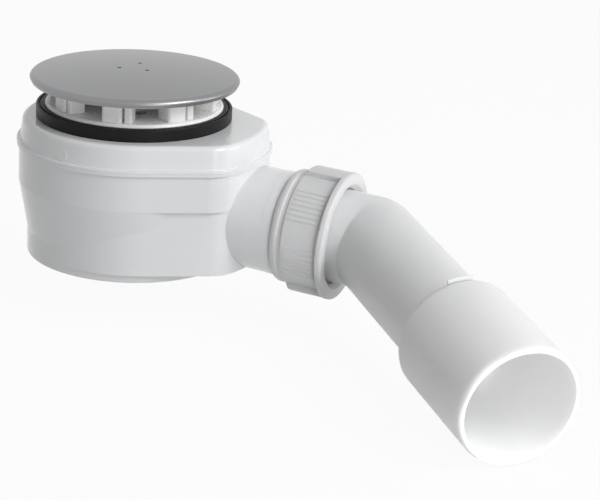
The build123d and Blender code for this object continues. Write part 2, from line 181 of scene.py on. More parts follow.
bendBore = {  # in metres; painted light: the bore is painted paler than the outside, standing in for the light that carries far into it
    "corner": (0.143503, 0.0, 0.027879), "along": (0.694689, -0.706135, -0.137043), "shoulder": 0.104,
    "pipeRadius": 0.0246, "socketRadius": 0.0308, "colour": (0.955, 0.957, 0.955),
}


def paintBoreLight(material, size):
    nodes = material.node_tree.nodes
    links = material.node_tree.links
    shader = nodes["Principled BSDF"]
    outside = shader.inputs["Base Color"].links[0].from_socket

    def vectorStep(operation, first, second):
        node = nodes.new("ShaderNodeVectorMath")
        node.operation = operation
        links.new(first, node.inputs[0])
        if second:
            node.inputs[1].default_value = second
        return node

    def mathStep(operation, first, second):
        node = nodes.new("ShaderNodeMath")
        node.operation = operation
        links.new(first, node.inputs[0])
        if isinstance(second, float):
            node.inputs[1].default_value = second
        else:
            links.new(second, node.inputs[1])
        return node.outputs["Value"]

    place = nodes["Texture Coordinate"].outputs["Object"]
    fromCorner = vectorStep("SUBTRACT", place, size["corner"]).outputs["Vector"]
    along = vectorStep("DOT_PRODUCT", fromCorner, size["along"]).outputs["Value"]
    crossed = vectorStep("CROSS_PRODUCT", fromCorner, size["along"]).outputs["Vector"]
    across = vectorStep("LENGTH", crossed, None).outputs["Value"]
    inSocket = mathStep("GREATER_THAN", along, size["shoulder"])
    wider = mathStep("MULTIPLY", inSocket, size["socketRadius"] - size["pipeRadius"])
    edge = mathStep("ADD", wider, size["pipeRadius"])
    boreLightMask = mathStep("LESS_THAN", across, edge)
    # painted light: a paler colour inside the bore stands in for the light carried into it
    mix = nodes.new("ShaderNodeMix")
    mix.data_type = "RGBA"
    mix.inputs["B"].default_value = (*size["colour"], 1)
    links.new(boreLightMask, mix.inputs["Factor"])
    links.new(outside, mix.inputs["A"])
    links.new(mix.outputs["Result"], shader.inputs["Base Color"])


paintBoreLight(finishes["bendWhite"], bendBore)

finishOfSolid = {
    "cover_plate": "satinMetal",
    "cover_carrier": "underCoverLitWhite",
    "clamping_flange": "underCoverLitWhite",
    "flange_gasket": "blackRubber",
    "tray_seal": "blackRubber",
    "strainer_tube": "underCoverLitWhite",
    "strainer_o_ring": "blackRubber",
    "trap_cup": "glossyWhite",
    "housing_cap": "glossyWhite",
    "housing_bowl": "glossyWhite",
    "union_nut": "nutShadedWhite",
    "cone_seal": "blackRubber",
    "slip_washer": "naturalPlastic",
    "outlet_bend": "bendWhite",
}
for solid, finishName in finishOfSolid.items():
    for materialSlot in cad[solid].material_slots:
        materialSlot.material = finishes[finishName]
print("finishes set:", len(finishes))


# Mesh helpers: sizes in millimetres, meshes in metres

straight = math.pi - 0.01  # a corner more open than this stays as it is
cornerShare = 0.45  # the most of a side's length that one corner takes
guardRoom = 2.5  # a side this many times longer than its corner gets a guard point


def roundCorners(points, radii, steps=5, guard=0.12):  # radii by corner number, "all" for the rest
    outline = []
    count = len(points)
    for index, corner in enumerate(points):
        here = Vector(corner)
        before = Vector(points[index - 1])
        after = Vector(points[(index + 1) % count])
        radius = radii.get(index, radii.get("all", 0.0))
        toBefore = (before - here).normalized()
        toAfter = (after - here).normalized()
        opening = toBefore.angle(toAfter)
        if radius <= 0 or opening > straight:
            outline.append(here)
            continue
        reach = radius / math.tan(opening / 2)
        reach = min(reach, cornerShare * (before - here).length, cornerShare * (after - here).length)
        radius = reach * math.tan(opening / 2)
        centre = here + (toBefore + toAfter).normalized() * (radius / math.sin(opening / 2))
        start = here + toBefore * reach
        end = here + toAfter * reach
        if guard and (before - here).length > guardRoom * (reach + guard):  # keeps the side flat beside the corner
            outline.append(start + toBefore * guard)
        fromCentre = start - centre
        turn = fromCentre.angle_signed(end - centre)
        for step in range(steps + 1):
            angle = -turn * step / steps
            outline.append(centre + Matrix.Rotation(angle, 2) @ fromCentre)
        if guard and (after - here).length > guardRoom * (reach + guard):
            outline.append(end + toAfter * guard)
    return [(point[0], point[1]) for point in outline]


def revolveOutline(outline, steps, firstAngle=0.0, sweep=360.0):  # (radius, height) points turned about Z
    mesh = bmesh.new()
    full = abs(sweep - 360.0) < 1e-6
    columns = steps if full else steps + 1
    rings = []
    for column in range(columns):
        angle = math.radians(firstAngle + sweep * column / steps)
        rings.append([
            mesh.verts.new((r * mm * math.cos(angle), r * mm * math.sin(angle), z * mm)) for r, z in outline
        ])
    size = len(outline)
    for column in range(steps):
        here = rings[column]
        there = rings[(column + 1) % columns]
        for point in range(size):
            follow = (point + 1) % size
            mesh.faces.new((here[point], there[point], there[follow], here[follow]))
    if not full:
        mesh.faces.new(rings[0])
        mesh.faces.new(list(reversed(rings[-1])))
    bmesh.ops.recalc_face_normals(mesh, faces=mesh.faces[:])
    return mesh


def skinRings(mesh, rings):  # joins each ring of points to the next, and the last to the first
    for index, ring in enumerate(rings):
        follow = rings[(index + 1) % len(rings)]
        for point in range(len(ring)):
            nextPoint = (point + 1) % len(ring)
            mesh.faces.new((ring[point], ring[nextPoint], follow[nextPoint], follow[point]))
    bmesh.ops.recalc_face_normals(mesh, faces=mesh.faces[:])


def roundedBlock(mesh, low, high, corner, bottom, top):  # four round upright corners
    corners = [(low[0], low[1]), (high[0], low[1]), (high[0], high[1]), (low[0], high[1])]
    outline = roundCorners(corners, {"all": corner}, steps=6, guard=0)
    below = [mesh.verts.new((x * mm, y * mm, bottom * mm)) for x, y in outline]
    above = [mesh.verts.new((x * mm, y * mm, top * mm)) for x, y in outline]
    mesh.faces.new(list(reversed(below)))
    mesh.faces.new(above)
    for index in range(len(outline)):
        follow = (index + 1) % len(outline)
        mesh.faces.new((below[index], below[follow], above[follow], above[index]))


def pieceFrom(mesh, name, finishName, sharpAngle=35.0):
    data = bpy.data.meshes.new(name)
    mesh.to_mesh(data)
    mesh.free()
    data.materials.append(finishes[finishName])
    data.polygons.foreach_set("use_smooth", [True] * len(data.polygons))
    data.set_sharp_from_angle(angle=math.radians(sharpAngle))
    piece = bpy.data.objects.new(name, data)
    bpy.context.scene.collection.objects.link(piece)
    return piece


def bevelPiece(piece, width, segments=3, limit=40.0):
    bevel = piece.modifiers.new("roundEdges", "BEVEL")
    bevel.width = width * mm
    bevel.segments = segments
    bevel.limit_method = "ANGLE"
    bevel.angle_limit = math.radians(limit)
    bevel.harden_normals = True
    bakeModifiers(piece)


def bakeModifiers(piece):
    view = bpy.context.evaluated_depsgraph_get()
    finished = bpy.data.meshes.new_from_object(piece.evaluated_get(view))
    old = piece.data
    piece.modifiers.clear()
    piece.data = finished
    bpy.data.meshes.remove(old)


def joinPieces(main, extra):
    mesh = bmesh.new()
    mesh.from_mesh(main.data)
    mesh.from_mesh(extra.data)
    mesh.to_mesh(main.data)
    mesh.free()
    bpy.data.objects.remove(extra)
    return main


def showInstead(piece, solid):
    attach(piece, "root")
    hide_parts(solid)


# Geometry Nodes: groups of a feature, repeated about an axis and joined to the piece that carries them

def buildRepeatTree():
    tree = bpy.data.node_groups.new("repeatAboutAxis", "GeometryNodeTree")

    def addInput(label, kind):
        tree.interface.new_socket(name=label, in_out="INPUT", socket_type=kind)

    addInput("Carrier", "NodeSocketGeometry")
    addInput("Feature", "NodeSocketObject")
    addInput("Axis", "NodeSocketVector")
    addInput("Groups", "NodeSocketInt")
    addInput("Per Group", "NodeSocketInt")
    addInput("Pitch", "NodeSocketFloat")
    addInput("Group Step", "NodeSocketFloat")
    addInput("Groups Before Gap", "NodeSocketInt")
    addInput("First Angle", "NodeSocketFloat")
    addInput("Finish", "NodeSocketMaterial")
    tree.interface.new_socket(name="Piece", in_out="OUTPUT", socket_type="NodeSocketGeometry")
    nodes = tree.nodes
    links = tree.links
    given = nodes.new("NodeGroupInput").outputs

    def calculate(operation, first, second):
        node = nodes.new("ShaderNodeMath")
        node.operation = operation
        for socket, value in zip(node.inputs, (first, second)):
            if isinstance(value, (int, float)):
                socket.default_value = value
            elif value is not None:
                links.new(value, socket)
        return node.outputs["Value"]

    index = nodes.new("GeometryNodeInputIndex").outputs["Index"]
    group = calculate("FLOOR", calculate("DIVIDE", index, given["Per Group"]), None)
    skipped = calculate("FLOOR", calculate("DIVIDE", group, given["Groups Before Gap"]), None)
    within = calculate("SUBTRACT", index, calculate("MULTIPLY", group, given["Per Group"]))
    middle = calculate("DIVIDE", calculate("SUBTRACT", given["Per Group"], 1.0), 2.0)
    fan = calculate("MULTIPLY", calculate("SUBTRACT", within, middle), given["Pitch"])
    step = calculate("MULTIPLY", calculate("ADD", group, skipped), given["Group Step"])
    angle = calculate("ADD", given["First Angle"], calculate("ADD", step, fan))

    points = nodes.new("GeometryNodeMeshLine")
    points.inputs["Offset"].default_value = (0, 0, 0)
    links.new(calculate("MULTIPLY", given["Groups"], given["Per Group"]), points.inputs["Count"])
    source = nodes.new("GeometryNodeObjectInfo")
    links.new(given["Feature"], source.inputs["Object"])
    turn = nodes.new("FunctionNodeAxisAngleToRotation")
    links.new(given["Axis"], turn.inputs["Axis"])
    links.new(angle, turn.inputs["Angle"])
    copies = nodes.new("GeometryNodeInstanceOnPoints")
    links.new(points.outputs["Mesh"], copies.inputs["Points"])
    links.new(source.outputs["Geometry"], copies.inputs["Instance"])
    links.new(turn.outputs["Rotation"], copies.inputs["Rotation"])
    join = nodes.new("GeometryNodeJoinGeometry")
    links.new(given["Carrier"], join.inputs["Geometry"])
    links.new(copies.outputs["Instances"], join.inputs["Geometry"])
    realize = nodes.new("GeometryNodeRealizeInstances")
    links.new(join.outputs["Geometry"], realize.inputs["Geometry"])
    paint = nodes.new("GeometryNodeSetMaterial")
    links.new(realize.outputs["Geometry"], paint.inputs["Geometry"])
    links.new(given["Finish"], paint.inputs["Material"])
    links.new(paint.outputs["Geometry"], nodes.new("NodeGroupOutput").inputs["Piece"])
    return tree


repeatTree = buildRepeatTree()
noGap = 100  # more groups than any feature has


def repeatOn(carrier, feature, finishName, settings):
    modifier = carrier.modifiers.new("repeat", "NODES")
    modifier.node_group = repeatTree
    values = dict(settings)
    values["Feature"] = feature
    values["Finish"] = finishes[finishName]
    for item in repeatTree.interface.items_tree:
        if item.in_out == "INPUT" and item.name in values:
            modifier[item.identifier] = values[item.name]
    bakeModifiers(carrier)
    bpy.data.objects.remove(feature)


# Tray seal: one lathe outline, with a soft edge at each ridge

traySeal = {
    "outer": 53.9, "bore": 44.6, "bottom": 77.5, "floor": 82.6, "top": 84.0,
    "gasketSeat": 50.3, "grooveOuter": 52.4, "grooveInner": 51.5, "grooveDepth": 1.5,
    "edge": 0.45, "smallEdge": 0.2, "steps": 240,
}


def makeTraySeal(size):
    grooveFloor = size["top"] - size["grooveDepth"]
    points = [
        (size["bore"], size["bottom"]),
        (size["outer"], size["bottom"]),
        (size["outer"], size["top"]),
        (size["grooveOuter"], size["top"]),
        (size["grooveOuter"], grooveFloor),
        (size["grooveInner"], grooveFloor),
        (size["grooveInner"], size["top"]),
        (size["gasketSeat"], size["top"]),
        (size["gasketSeat"], size["floor"]),
        (size["bore"], size["floor"]),
    ]
    radii = {"all": size["smallEdge"], 1: size["edge"], 2: size["edge"], 3: size["edge"]}
    outline = roundCorners(points, radii)
    return pieceFrom(revolveOutline(outline, size["steps"]), "traySeal", "blackRubber")


showInstead(makeTraySeal(traySeal), "tray_seal")
print("tray seal made")


# Housing cap: rings that follow the housing's plan, drawn in towards the round collar

housingCap = {  # the lip is a hair inside the solid's
    "round": 62.5, "outletSide": 75.7, "flank": 60.0, "corner": 18.0,
    "lipRound": 1.795, "lipOutletSide": 1.3, "lipBottom": 63.3, "lipTop": 64.8, "lipEdge": 0.42,
    "top": 77.5, "draft": 7.0, "topRound": 3.0, "wall": 2.4, "lipWall": 1.8,
    "collarBore": 42.8, "collarOuter": 45.5, "collarBottom": 65.5,
    "lipFootRound": 0.15, "collarTopRound": 0.5, "collarFootRound": 0.3, "roundingSteps": 7,
    "roundSteps": 110, "flankSteps": 8, "cornerSteps": 16, "endSteps": 16,
}
mouldMark = {
    "angle": -101.5, "width": 7.0, "height": 6.0, "middle": 68.0, "proud": 0.2, "sink": 2.0,
    "corner": 2.9, "edge": 0.15,
}
planMark = 100.0  # an outline value this large is the housing's plan, anything under half of it is a circle


def housingPlan(size, offset):
    flank = math.radians(size["flank"])
    radius = size["round"] + offset
    wide = size["outletSide"] + offset * (size["lipOutletSide"] / size["lipRound"] if offset > 0 else 1.0)
    corner = size["corner"] + min(offset, 0.0)
    bend = flank - math.acos((radius - corner) / (wide - corner))
    cornerX = (wide - corner) * math.cos(bend)
    cornerY = (wide - corner) * math.sin(bend)
    half = []
    for step in range(size["roundSteps"]):
        angle = math.pi + (flank - math.pi) * step / size["roundSteps"]
        half.append((radius * math.cos(angle), radius * math.sin(angle)))
    start = Vector((radius * math.cos(flank), radius * math.sin(flank)))
    end = Vector((cornerX + corner * math.cos(flank), cornerY + corner * math.sin(flank)))
    half += [tuple(start.lerp(end, step / size["flankSteps"])) for step in range(size["flankSteps"])]
    for step in range(size["cornerSteps"]):
        angle = flank + (bend - flank) * step / size["cornerSteps"]
        half.append((cornerX + corner * math.cos(angle), cornerY + corner * math.sin(angle)))
    for step in range(size["endSteps"]):
        angle = bend * (1 - step / size["endSteps"])
        half.append((wide * math.cos(angle), wide * math.sin(angle)))
    return half + [(wide, 0.0)] + [(x, -y) for x, y in reversed(half[1:])]


def makeHousingCap(size, mark):
    drop = (size["top"] - size["lipTop"]) * math.tan(math.radians(size["draft"]))
    inside = size["top"] - size["wall"]
    points = [
        (planMark + size["lipRound"], size["lipBottom"]),
        (planMark + size["lipRound"], size["lipTop"]),
        (planMark, size["lipTop"]),
        (planMark - drop, size["top"]),
        (size["collarBore"], size["top"]),
        (size["collarBore"], size["collarBottom"]),
        (size["collarOuter"], size["collarBottom"]),
        (size["collarOuter"], inside),
        (planMark - drop - size["wall"], inside),
        (planMark - size["wall"], size["lipTop"]),
        (planMark - size["lipWall"], size["lipTop"]),
        (planMark - size["lipWall"], size["lipBottom"]),
    ]
    radii = {
        0: size["lipFootRound"], 1: size["lipEdge"], 2: size["lipEdge"], 3: size["topRound"],
        4: size["collarTopRound"], 5: size["collarFootRound"], 6: size["collarFootRound"],
    }
    outline = roundCorners(points, radii, size["roundingSteps"])
    plan = housingPlan(size, 0.0)
    mesh = bmesh.new()
    rings = []
    for across, height in outline:
        if across < planMark / 2:
            ring = [Vector(point).normalized() * across for point in plan]
        else:
            ring = housingPlan(size, across - planMark)
        rings.append([mesh.verts.new((x * mm, y * mm, height * mm)) for x, y in ring])
    skinRings(mesh, rings)
    cap = pieceFrom(mesh, "housingCap", "glossyWhite")
    return joinPieces(cap, makeMouldMark(size, mark))


def makeMouldMark(size, mark):  # lies on the wall's slope
    mesh = bmesh.new()
    draft = math.radians(size["draft"])
    wall = size["round"] - (mark["middle"] - size["lipTop"]) * math.tan(draft)
    half = mark["width"] / 2
    tall = mark["height"] / 2
    roundedBlock(mesh, (-tall, -half), (tall, half), mark["corner"], -mark["sink"], mark["proud"])
    bmesh.ops.recalc_face_normals(mesh, faces=mesh.faces[:])
    lie = Matrix.Rotation(math.radians(90) - draft, 4, "Y")
    rise = Matrix.Translation((wall * mm, 0, mark["middle"] * mm))
    turn = Matrix.Rotation(math.radians(mark["angle"]), 4, "Z")
    bmesh.ops.transform(mesh, matrix=turn @ rise @ lie, verts=mesh.verts[:])
    piece = pieceFrom(mesh, "mouldMark", "glossyWhite")
    bevelPiece(piece, mark["edge"], segments=4, limit=60.0)
    return piece


showInstead(makeHousingCap(housingCap, mouldMark), "housing_cap")
print("housing cap made")


# Union nut: a turned body, two thumb lugs and groups of grip ribs

unionNut = {
    "axisHeight": 35.4, "fall": 3.0, "back": 96.0, "front": 127.5, "steps": 240,
    "threadBore": 29.5, "bore": 26.6, "shelf": 122.9, "boreLead": 2.5,
    "backRadius": 30.3, "ringRadius": 31.2, "ringLead": 1.8, "ringLength": 3.4,
    "channelRadius": 30.4, "channelLength": 3.3, "channelSlope": 0.5, "bandRadius": 31.6,
    "grooveLength": 2.0, "grooveDepth": 0.5, "rimRadius": 35.0, "rimLength": 3.8,
    "rimLead": 0.6, "rimStep": 0.6, "rimRound": 2.5,
    "edgeRound": 0.25, "ringRound": 0.5, "bandRound": 0.4, "faceRound": 0.5,
}
thumbLug = {"halfAngle": 20.5, "radius": 34.7, "setBack": 5.7, "ramp": 3.0, "sink": 0.3, "edge": 0.7, "steps": 24}
gripRibs = {
    "perGroup": 7, "pitch": 5.2, "groups": 4, "groupStep": 60.0, "groupsBeforeGap": 2,
    "firstSector": 101.5, "height": 0.55, "width": 1.5, "edge": 0.5, "setBack": 8.0, "frontGap": 1.6,
}


def nutPlace(size):
    return Matrix.Translation((0, 0, size["axisHeight"] * mm)) @ Matrix.Rotation(math.radians(size["fall"]), 4, "Y")


def makeNutBody(size):
    ringEnd = size["back"] + size["ringLength"]
    band = ringEnd + size["channelLength"]
    rim = size["front"] - size["rimLength"]
    points = [
        (size["threadBore"], size["back"]),
        (size["backRadius"], size["back"]),
        (size["ringRadius"], size["back"] + size["ringLead"]),
        (size["ringRadius"], ringEnd),
        (size["channelRadius"], ringEnd + size["channelSlope"]),
        (size["channelRadius"], band - size["channelSlope"]),
        (size["bandRadius"], band),
        (size["bandRadius"], rim - size["grooveLength"] - size["grooveDepth"]),
        (size["bandRadius"] - size["grooveDepth"], rim - size["grooveDepth"]),
        (size["rimRadius"] - size["rimStep"], rim),
        (size["rimRadius"], rim + size["rimLead"]),
        (size["rimRadius"], size["front"]),
        (size["bore"] + size["boreLead"], size["front"]),
        (size["bore"], size["front"] - size["boreLead"]),
        (size["bore"], size["shelf"]),
        (size["threadBore"], size["shelf"]),
    ]
    radii = {
        "all": size["edgeRound"], 3: size["ringRound"], 6: size["bandRound"],
        11: size["rimRound"], 12: size["faceRound"],
    }
    body = revolveOutline(roundCorners(points, radii), size["steps"])
    bmesh.ops.transform(body, matrix=nutPlace(size) @ Matrix.Rotation(math.radians(90), 4, "Y"), verts=body.verts[:])
    return pieceFrom(body, "unionNut", "nutShadedWhite")


def makeLug(size, lug):  # points up from the nut's axis before it is turned into place
    start = size["back"] + lug["setBack"]
    end = size["front"] - size["rimLength"] + size["rimStep"]
    root = size["bandRadius"] - size["grooveDepth"] - lug["sink"]
    outline = [(root, start), (lug["radius"], start + lug["ramp"]), (lug["radius"], end), (root, end)]
    mesh = revolveOutline(outline, lug["steps"], 180 - lug["halfAngle"], 2 * lug["halfAngle"])
    bmesh.ops.transform(mesh, matrix=Matrix.Rotation(math.radians(90), 4, "Y"), verts=mesh.verts[:])
    piece = pieceFrom(mesh, "thumbLug", "nutShadedWhite")
    bevelPiece(piece, lug["edge"], segments=4)
    return piece


def makeRib(size, rib):
    start = size["back"] + rib["setBack"]
    length = size["front"] - size["rimLength"] - rib["frontGap"] - start
    mesh = bmesh.new()
    bmesh.ops.create_cube(mesh, size=1.0)
    middle = Matrix.Translation(((start + length / 2) * mm, 0, size["bandRadius"] * mm))
    scale = Matrix.Diagonal((length * mm, rib["width"] * mm, 2 * rib["height"] * mm, 1))
    bmesh.ops.transform(mesh, matrix=middle @ scale, verts=mesh.verts[:])
    piece = pieceFrom(mesh, "gripRib", "nutShadedWhite")
    bevelPiece(piece, rib["edge"], segments=4)
    return piece


def makeUnionNut(size, lug, rib):
    nut = makeNutBody(size)
    level = nutPlace(size)
    nut.data.transform(level.inverted())
    upright = math.radians(90.0)
    shared = {"Axis": (1.0, 0.0, 0.0), "Pitch": -math.radians(rib["pitch"])}
    repeatOn(nut, makeLug(size, lug), "nutShadedWhite", {
        **shared, "Groups": 2, "Per Group": 1, "Groups Before Gap": noGap,
        "Group Step": -math.radians(180.0), "First Angle": upright - math.radians(rib["firstSector"]),
    })
    repeatOn(nut, makeRib(size, rib), "nutShadedWhite", {
        **shared, "Groups": rib["groups"], "Per Group": rib["perGroup"],
        "Groups Before Gap": rib["groupsBeforeGap"], "Group Step": -math.radians(rib["groupStep"]),
        "First Angle": upright - math.radians(rib["firstSector"] + rib["groupStep"]),
    })
    nut.data.transform(level)
    return nut


showInstead(makeUnionNut(unionNut, thumbLug, gripRibs), "union_nut")
print("union nut made")


# Cover carrier: a thin plate with a rim and a boss, and leg blocks that each have a springy finger beside them

coverCarrier = {
    "plateRadius": 50.5, "bottom": 95.0, "top": 96.9, "rimWidth": 1.6, "bossRadius": 13.0, "bossWall": 8.0,
    "rimTop": 100.71, "bossTop": 103.73, "edge": 0.35, "steps": 192,
    "vents": 3, "ventRadius": 1.1, "ventCircle": 9.0, "firstVent": -19.6, "ventSides": 24, "drillLength": 40.0,
}
carrierLeg = {
    "count": 8, "firstAngle": -79.3, "outerRadius": 46.6, "depth": 12.5, "width": 11.0, "foot": 85.7,
    "corner": 1.8, "slit": 1.2, "fingerWidth": 4.0, "fingerDepth": 9.0, "fingerSetBack": 1.2,
    "fingerCorner": 0.9, "edge": 0.3, "sink": 0.3,
}


def makeLeg(size, leg):
    mesh = bmesh.new()
    half = leg["width"] / 2
    inner = leg["outerRadius"] - leg["depth"]
    top = size["bottom"] + leg["sink"]
    roundedBlock(mesh, (inner, -half), (leg["outerRadius"], half), leg["corner"], leg["foot"], top)
    outer = leg["outerRadius"] - leg["fingerSetBack"]
    side = half + leg["slit"]
    roundedBlock(
        mesh, (outer - leg["fingerDepth"], side), (outer, side + leg["fingerWidth"]),
        leg["fingerCorner"], leg["foot"], top,
    )
    bmesh.ops.recalc_face_normals(mesh, faces=mesh.faces[:])
    piece = pieceFrom(mesh, "carrierLeg", "underCoverLitWhite")
    bevelPiece(piece, leg["edge"], limit=60.0)
    return piece


def makeCarrier(size, leg):
    rim = size["plateRadius"] - size["rimWidth"]
    bossBore = size["bossRadius"] - size["bossWall"]
    points = [
        (0.0, size["bottom"]),
        (size["plateRadius"], size["bottom"]),
        (size["plateRadius"], size["rimTop"]),
        (rim, size["rimTop"]),
        (rim, size["top"]),
        (size["bossRadius"], size["top"]),
        (size["bossRadius"], size["bossTop"]),
        (bossBore, size["bossTop"]),
        (bossBore, size["top"]),
        (0.0, size["top"]),
    ]
    outline = roundCorners(points, {"all": size["edge"], 0: 0, 9: 0})
    mesh = revolveOutline(outline, size["steps"])
    bmesh.ops.remove_doubles(mesh, verts=mesh.verts[:], dist=1e-6)
    bmesh.ops.recalc_face_normals(mesh, faces=mesh.faces[:])
    carrier = pieceFrom(mesh, "coverCarrier", "underCoverLitWhite")
    drillVents(carrier, size)
    repeatOn(carrier, makeLeg(size, leg), "underCoverLitWhite", {
        "Axis": (0.0, 0.0, 1.0), "Groups": leg["count"], "Per Group": 1, "Pitch": 0.0,
        "Group Step": math.radians(360.0 / leg["count"]), "Groups Before Gap": noGap,
        "First Angle": math.radians(leg["firstAngle"]),
    })
    return carrier


def drillVents(carrier, size):
    drill = bmesh.new()
    circle = size["ventCircle"] * mm
    radius = size["ventRadius"] * mm
    for vent in range(size["vents"]):
        angle = math.radians(size["firstVent"] + 360.0 / size["vents"] * vent)
        place = Matrix.Translation((circle * math.cos(angle), circle * math.sin(angle), size["top"] * mm))
        bmesh.ops.create_cone(
            drill, cap_ends=True, segments=size["ventSides"], radius1=radius, radius2=radius,
            depth=size["drillLength"] * mm, matrix=place,
        )
    tool = pieceFrom(drill, "ventDrill", "underCoverLitWhite")
    cut = carrier.modifiers.new("vents", "BOOLEAN")
    cut.operation = "DIFFERENCE"
    cut.solver = "EXACT"
    cut.object = tool
    bakeModifiers(carrier)
    bpy.data.objects.remove(tool)


showInstead(makeCarrier(coverCarrier, carrierLeg), "cover_carrier")
print("cover carrier made")


# Outlet bend: rings that follow the bent centre line, with a soft inner corner, and back through the bore

outletBend = {  # places along both pipes are counted from the bend's corner
    "inletStart": -49.4, "inletLead": 0.4, "turnStart": -16.0, "bendAngle": 45.5, "roll": 8.1, "cornerReach": 143.7,
    "pipeRadius": 25.5, "pipeWall": 1.9, "pipeRings": (20.0, 60.0), "crease": 0.15,
    "shoulder": 101.6, "shoulderLength": 4.4, "shoulderStep": 2.4, "socketRadius": 32.2, "socketWall": 2.7,
    "end": 173.2, "mouthTurn": 1.4, "mouthLead": 4.9, "mouthEdge": 0.5, "mouthFlat": 0.9, "mouthInset": 6.0,
    "lipSet": 0.01, "ringGuard": 3.0, "cornerSoftness": 7.0, "around": 144, "turnRings": 14, "sharpAngle": 50.0,
}
shoulderTab = {
    "start": 102.8, "thickness": 1.2, "radius": 34.0, "firstAngle": -13.5, "sweep": 24.0, "edge": 0.25, "steps": 20,
}


def bendDirections(size):  # along the inlet, along the leg, towards the inside of the bend, and square to both pipes
    fall = math.radians(unionNut["fall"])
    roll = math.radians(size["roll"])
    turn = math.radians(size["bendAngle"])
    inlet = Vector((math.cos(fall), 0, -math.sin(fall)))
    upright = Vector((math.sin(fall), 0, math.cos(fall)))
    side = Vector((0, -math.cos(roll), 0)) - upright * math.sin(roll)
    leg = inlet * math.cos(turn) + side * math.sin(turn)
    return inlet, leg, side, inlet.cross(side).normalized()


def ovalCorner(first, last, centre, steps=8):  # stations (place, radius) on a quarter of an oval
    points = []
    for step in range(steps + 1):
        angle = math.pi / 2 * step / steps
        points.append(tuple(
            c + (a - c) * math.cos(angle) + (b - c) * math.sin(angle) for a, b, c in zip(first, last, centre)
        ))
    return points


def legOutside(size):  # (place, radius) from the corner to the mouth
    step = (size["shoulder"], size["pipeRadius"] + size["shoulderStep"])
    top = (size["shoulder"] + size["shoulderLength"], size["socketRadius"])
    turnStart = size["end"] - size["mouthLead"]
    lip = size["socketRadius"] - size["mouthTurn"]
    pipe = size["pipeRadius"]
    stations = [(place, pipe) for place in size["pipeRings"]]
    stations += [(size["shoulder"] - size["crease"], pipe), (size["shoulder"], pipe)]
    stations += [(size["shoulder"], pipe + size["crease"])]
    stations += ovalCorner(step, top, (top[0], step[1]))
    stations += [(top[0] + size["ringGuard"], top[1]), (turnStart - size["ringGuard"], top[1])]
    stations += ovalCorner((turnStart, size["socketRadius"]), (size["end"] - size["lipSet"], lip), (turnStart, lip))
    return stations


def legInside(size):  # (place, radius) from the mouth back to the corner
    wall = size["socketWall"]
    bore = size["socketRadius"] - wall
    edge = size["mouthEdge"]
    shoulder = size["shoulder"] + wall
    pipe = size["pipeRadius"] - size["pipeWall"]
    end = size["end"]
    step = (shoulder, pipe + size["shoulderStep"])
    top = (shoulder + size["shoulderLength"], bore)
    stations = [(end, bore + size["mouthFlat"])]
    stations += ovalCorner((end, bore + edge), (end - edge, bore), (end - edge, bore + edge), steps=4)
    stations += [(end - size["mouthInset"], bore), (top[0] + size["ringGuard"], bore)]
    stations += list(reversed(ovalCorner(step, top, (top[0], step[1]))))
    stations += [(shoulder, pipe + size["crease"]), (shoulder, pipe), (shoulder - size["crease"], pipe)]
    return stations + [(place, pipe) for place in reversed(size["pipeRings"])]


def makeBend(size, tab):
    inlet, leg, side, across = bendDirections(size)
    corner = Vector(bendBore["corner"])
    half = math.radians(size["bendAngle"]) / 2
    outward = -side
    turnAxis = inlet.cross(leg).normalized()
    legOutward = Matrix.Rotation(2 * half, 3, turnAxis) @ outward
    middle = (outward + legOutward).normalized()

    def straightRing(axis, normal, place, radius):
        return [
            corner + axis * place * mm + (normal * math.cos(angle) + across * math.sin(angle)) * radius * mm
            for angle in angles
        ]

    def turningRing(share, radius):  # each strand turns on its own arc, widest on the outside of the bend
        points = []
        for angle in angles:
            offset = radius * math.cos(angle)
            bend = 0.5 * (offset + math.sqrt(offset ** 2 + 4 * size["cornerSoftness"] ** 2))
            direction = Matrix.Rotation(2 * half * share, 3, turnAxis) @ outward
            centre = corner + middle * ((offset - bend) / math.cos(half)) * mm
            points.append(centre + direction * bend * mm + across * radius * math.sin(angle) * mm)
        return points

    angles = [2 * math.pi * index / size["around"] for index in range(size["around"])]
    outer = size["pipeRadius"]
    inner = outer - size["pipeWall"]
    start = size["inletStart"]
    lead = size["inletLead"]
    shares = [step / size["turnRings"] for step in range(size["turnRings"] + 1)]
    rings = [straightRing(inlet, outward, start, outer - lead), straightRing(inlet, outward, start + lead, outer)]
    rings += [straightRing(inlet, outward, size["turnStart"], outer)]
    rings += [turningRing(share, outer) for share in shares]
    rings += [straightRing(leg, legOutward, place, radius) for place, radius in legOutside(size) + legInside(size)]
    rings += [turningRing(share, inner) for share in reversed(shares)]
    rings += [straightRing(inlet, outward, place, inner) for place in (size["turnStart"], start)]
    mesh = bmesh.new()
    skinRings(mesh, [[mesh.verts.new(point) for point in ring] for ring in rings])
    bend = pieceFrom(mesh, "outletBend", "bendWhite", size["sharpAngle"])
    return joinPieces(bend, makeTab(size, tab))


def makeTab(size, tab):
    inside = size["pipeRadius"] - size["pipeWall"] / 2
    end = tab["start"] + tab["thickness"]
    outline = [(inside, tab["start"]), (tab["radius"], tab["start"]), (tab["radius"], end), (inside, end)]
    mesh = revolveOutline(outline, tab["steps"], 180.0 - tab["firstAngle"] - tab["sweep"], tab["sweep"])
    outlet = nutPlace(unionNut) @ Matrix.Translation((size["cornerReach"] * mm, 0, 0))
    turn = (
        Matrix.Rotation(math.radians(size["roll"]), 4, "X")
        @ Matrix.Rotation(math.radians(-size["bendAngle"]), 4, "Z")
        @ Matrix.Rotation(math.radians(90), 4, "Y")
    )
    bmesh.ops.transform(mesh, matrix=outlet @ turn, verts=mesh.verts[:])
    piece = pieceFrom(mesh, "shoulderTab", "bendWhite")
    bevelPiece(piece, tab["edge"])
    return piece


showInstead(makeBend(outletBend, shoulderTab), "outlet_bend")
print("outlet bend made")


# Studio: a pale floor below the bend's mouth, soft lights, and the camera of the photograph

